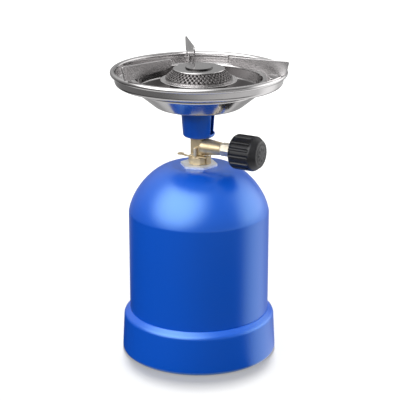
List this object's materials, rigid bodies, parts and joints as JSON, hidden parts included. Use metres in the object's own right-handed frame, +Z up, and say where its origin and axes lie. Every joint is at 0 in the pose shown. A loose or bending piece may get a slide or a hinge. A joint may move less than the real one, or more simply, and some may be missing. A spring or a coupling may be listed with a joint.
{
  "type": "portable gas stove",
  "caption": "Portable gas stove with a blue domed shell over a pierceable cartridge, brass valve with fluted knob, steel bowl and pot supports.",
  "frame": {"origin": "on the shell axis at table level, under the centre of the base cup", "axes": "+Z up along the shell axis; -Y towards the front; the knob points to +X and 29 degrees to the front"},
  "size_m": [0.1178, 0.1207, 0.2077],
  "materials": {
    "blue_enamel": "smooth gloss stove enamel, blue",
    "tinplate": "plain tinplate can",
    "zinc_plate": "bright zinc plated steel",
    "rubber": "black nitrile rubber",
    "brass": "turned brass",
    "nickel_brass": "nickel plated brass",
    "steel": "turned steel",
    "knob_plastic": "black moulded thermoset, satin",
    "stainless": "pressed bright stainless steel"
  },
  "bodies": {
    "base": {"base_cup": "blue_enamel", "gas_cartridge": "tinplate"},
    "shell": {"upper_shell": "blue_enamel", "threaded_bush": "zinc_plate", "bush_nut": "zinc_plate"},
    "seal": {"cartridge_seal": "rubber"},
    "burner_unit": {"valve_stem": "brass", "piercing_needle": "steel", "unit_nut": "brass", "valve_body": "brass", "gland_nut": "nickel_brass", "lever_pin": "steel", "air_cup": "blue_enamel", "jet": "brass", "bowl": "stainless", "mixing_tube": "steel", "bowl_nut": "zinc_plate", "burner_cup": "stainless", "burner_ring": "stainless", "burner_cap": "stainless", "pot_support_right": "stainless", "pot_support_back": "stainless", "pot_support_left": "stainless"},
    "catch": {"catch_lever": "brass"},
    "packing": {"spindle_o_ring": "rubber"},
    "knob": {"spindle": "steel", "control_knob": "knob_plastic", "knob_insert": "brass", "knob_cap": "knob_plastic"}
  },
  "joints": [
    {"name": "shell_lift", "type": "slide", "parent": "base", "child": "shell", "axis": [0, 0, 1], "range_m": [0, 0.075]},
    {"name": "unit_travel", "type": "slide", "parent": "shell", "child": "seal", "axis": [0, 0, 1], "range_m": [0, 0.0045]},
    {"name": "unit_turn", "type": "hinge", "parent": "seal", "child": "burner_unit", "pos_m": [0, 0, 0.1355], "axis": [0, 0, 1], "range_deg": [0, 1080]},
    {"name": "catch_swing", "type": "hinge", "parent": "burner_unit", "child": "catch", "pos_m": [-0.00255, -0.00485, 0.139], "axis": [0, 0, 1], "range_deg": [-25, 0]},
    {"name": "spindle_travel", "type": "slide", "parent": "burner_unit", "child": "packing", "axis": [0.8746, -0.4848, 0], "range_m": [0, 0.001]},
    {"name": "knob_turn", "type": "hinge", "parent": "packing", "child": "knob", "pos_m": [0.02624, -0.01454, 0.1453], "axis": [0.8746, -0.4848, 0], "range_deg": [0, 450]}
  ],
  "couplings": [
    {"joint": "unit_turn", "follows": "unit_travel", "rad_per_m": 4188.8},
    {"joint": "knob_turn", "follows": "spindle_travel", "rad_per_m": 7854}
  ]
}
